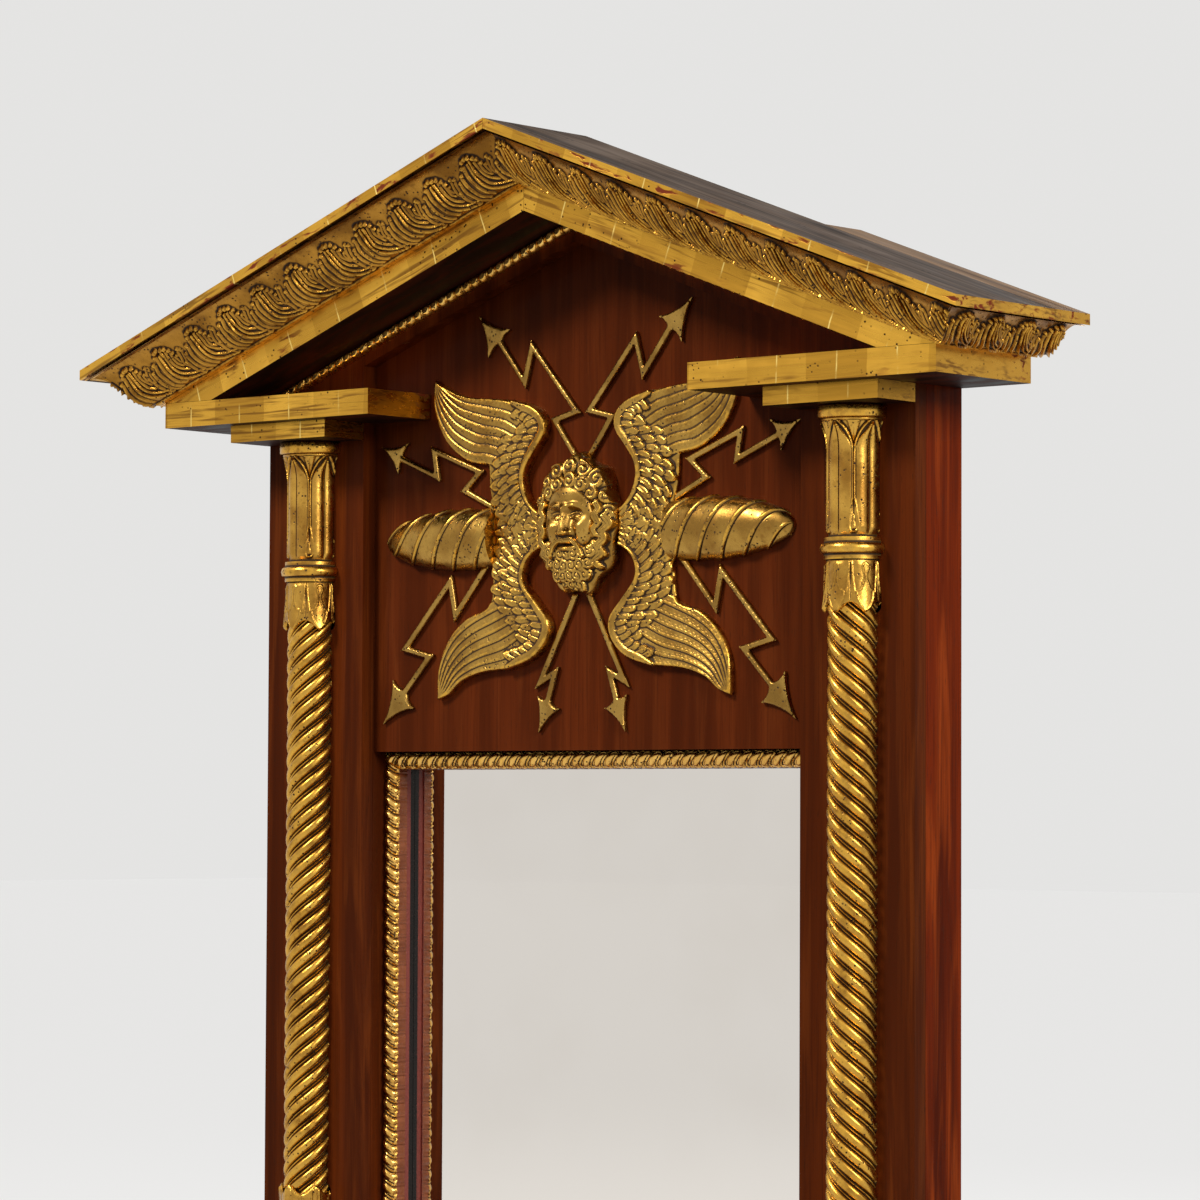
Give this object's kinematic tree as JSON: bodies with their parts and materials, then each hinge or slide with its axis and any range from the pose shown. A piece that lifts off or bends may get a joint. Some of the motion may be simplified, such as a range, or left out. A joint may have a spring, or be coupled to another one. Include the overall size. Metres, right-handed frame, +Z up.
{
  "type": "pier mirror",
  "caption": "Empire pier mirror: mahogany case, gilt twisted half-columns with lotus capitals, broken pediment, winged thunderbolts round a bearded mask, and a beaded sight moulding.",
  "frame": {"origin": "on the surface it stands on, under the middle of its width and depth", "axes": "+Z up, +X to the viewer's right, the mirror faces -Y and the wall is at +Y"},
  "size_m": [1.091, 0.2014, 1.289],
  "materials": {
    "mahogany": "polished dark red-brown mahogany",
    "side_mahogany": "glossy orange-red mahogany",
    "burnished_gilding": "burnished water gilding over red bole, rubbed",
    "carved_gilding": "dark toned gilding on carving",
    "column_gilding": "bright burnished gilding with dark pits",
    "roof_board": "weathered unpainted board",
    "pine": "rough sawn pine",
    "mirror_glass": "silvered plate, slightly aged"
  },
  "bodies": {
    "root": {"stile_front_left": "mahogany", "stile_side_left": "side_mahogany", "stile_return_left": "mahogany", "stile_front_right": "mahogany", "stile_side_right": "side_mahogany", "stile_return_right": "mahogany", "frieze_panel": "mahogany", "bottom_rail": "mahogany", "backboard_1": "pine", "backboard_2": "pine", "mirror_glass": "mirror_glass", "sight_bead_top": "carved_gilding", "sight_bead_bottom": "carved_gilding", "sight_bead_left": "carved_gilding", "sight_bead_right": "carved_gilding", "base_top": "mahogany", "base_front": "mahogany", "base_side_left": "side_mahogany", "base_side_right": "side_mahogany", "geison_left": "burnished_gilding", "corona_left": "burnished_gilding", "cyma_left": "carved_gilding", "cyma_return_left": "carved_gilding", "roof_front_left": "roof_board", "roof_rear_left": "roof_board", "raking_rail_left": "mahogany", "tympanum_bead_left": "carved_gilding", "geison_right": "burnished_gilding", "corona_right": "burnished_gilding", "cyma_right": "carved_gilding", "cyma_return_right": "carved_gilding", "roof_front_right": "roof_board", "roof_rear_right": "roof_board", "raking_rail_right": "mahogany", "tympanum_bead_right": "carved_gilding", "abacus_left": "burnished_gilding", "plinth_block_left": "burnished_gilding", "capital_left": "column_gilding", "shaft_left": "column_gilding", "column_foot_left": "column_gilding", "abacus_right": "burnished_gilding", "plinth_block_right": "burnished_gilding", "capital_right": "column_gilding", "shaft_right": "column_gilding", "column_foot_right": "column_gilding", "wings_left": "carved_gilding", "thunderbolt_left": "carved_gilding", "lightning_top_left": "carved_gilding", "lightning_upper_left": "carved_gilding", "lightning_lower_left": "carved_gilding", "lightning_bottom_left": "carved_gilding", "wings_right": "carved_gilding", "thunderbolt_right": "carved_gilding", "lightning_top_right": "carved_gilding", "lightning_upper_right": "carved_gilding", "lightning_lower_right": "carved_gilding", "lightning_bottom_right": "carved_gilding", "mask": "carved_gilding"}
  },
  "joints": []
}
